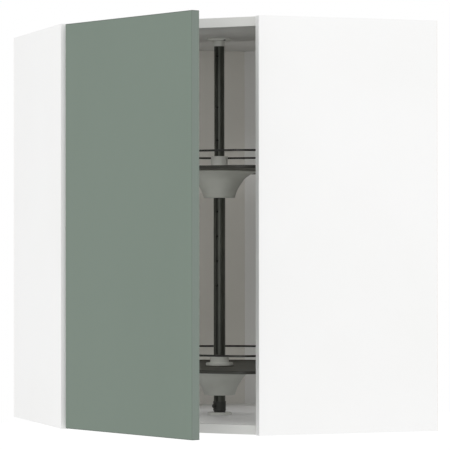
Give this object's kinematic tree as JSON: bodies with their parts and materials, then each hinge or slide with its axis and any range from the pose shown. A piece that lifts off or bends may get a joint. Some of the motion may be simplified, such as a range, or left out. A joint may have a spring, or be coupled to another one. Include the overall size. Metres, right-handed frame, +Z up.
{
  "type": "corner carousel cabinet",
  "caption": "Corner wall cabinet with a diagonal front: a hinged door opens on round railed shelves that turn together on an upright pole.",
  "frame": {"origin": "on the carousel's turning axis, at the underside of the bottom panel", "axes": "+Z up, +Y to the rear wall and +X to the right-hand wall of the room corner; the diagonal front faces (-1, -1)"},
  "size_m": [0.675, 0.7523, 0.8],
  "materials": {
    "foil": "smooth white foil on particle board, satin",
    "back_board": "thin white-faced fibreboard, matt",
    "door_paint": "grey-green paint film on fibreboard, satin",
    "shelf_board": "dark grey faced board, satin",
    "dark_steel": "dark grey lacquered steel, satin",
    "grey_plastic": "moulded, satin",
    "steel": "bright zinc-plated steel",
    "black_plastic": "moulded, satin"
  },
  "bodies": {
    "carcass": {"left_side_panel": "foil", "right_side_panel": "foil", "bottom_panel": "foil", "top_panel": "foil", "corner_back_board": "foil", "rear_back_panel": "back_board", "right_back_panel": "back_board", "left_suspension_bracket": "steel", "right_suspension_bracket": "steel", "left_suspension_screw": "steel", "right_suspension_screw": "steel", "bottom_left_cam_lock": "steel", "bottom_left_cam_bolt": "steel", "bottom_right_cam_lock": "steel", "bottom_right_cam_bolt": "steel", "bottom_bearing": "grey_plastic", "bottom_bearing_screw_1": "steel", "bottom_bearing_screw_2": "steel", "top_left_cam_lock": "steel", "top_left_cam_bolt": "steel", "top_right_cam_lock": "steel", "top_right_cam_bolt": "steel", "top_bearing": "grey_plastic", "top_bearing_screw_1": "steel", "top_bearing_screw_2": "steel", "lower_hinge_plate": "steel", "lower_hinge_arm": "steel", "lower_hinge_arm_screw": "steel", "upper_hinge_plate": "steel", "upper_hinge_arm": "steel", "upper_hinge_arm_screw": "steel"},
    "door": {"door_panel": "door_paint", "lower_hinge_cup": "steel", "lower_hinge_lever": "steel", "lower_hinge_pin": "steel", "lower_hinge_cup_screw_a": "steel", "lower_hinge_cup_screw_b": "steel", "upper_hinge_cup": "steel", "upper_hinge_lever": "steel", "upper_hinge_pin": "steel", "upper_hinge_cup_screw_a": "steel", "upper_hinge_cup_screw_b": "steel", "bottom_door_bumper": "grey_plastic", "top_door_bumper": "grey_plastic"},
    "carousel": {"lower_pole_tube": "dark_steel", "upper_pole_tube": "dark_steel", "lower_shelf_rail": "dark_steel", "upper_shelf_rail": "dark_steel", "pole_foot": "black_plastic", "pole_clamp": "black_plastic", "pole_clamp_knob": "black_plastic", "lower_shelf": "shelf_board", "upper_shelf": "shelf_board", "lower_shelf_bell": "grey_plastic", "upper_shelf_bell": "grey_plastic", "lower_hub": "grey_plastic", "upper_hub": "grey_plastic", "lower_hub_pin": "steel", "upper_hub_pin": "steel"}
  },
  "joints": [
    {"name": "door_swing", "type": "hinge", "parent": "carcass", "child": "door", "pos_m": [-0.33439, -0.03434, 0.4], "axis": [0, 0, -1], "range_deg": [-24.6, 85.4]},
    {"name": "carousel_turn", "type": "hinge", "parent": "carcass", "child": "carousel", "pos_m": [0, 0, 0], "axis": [0, 0, 1], "continuous": true}
  ]
}
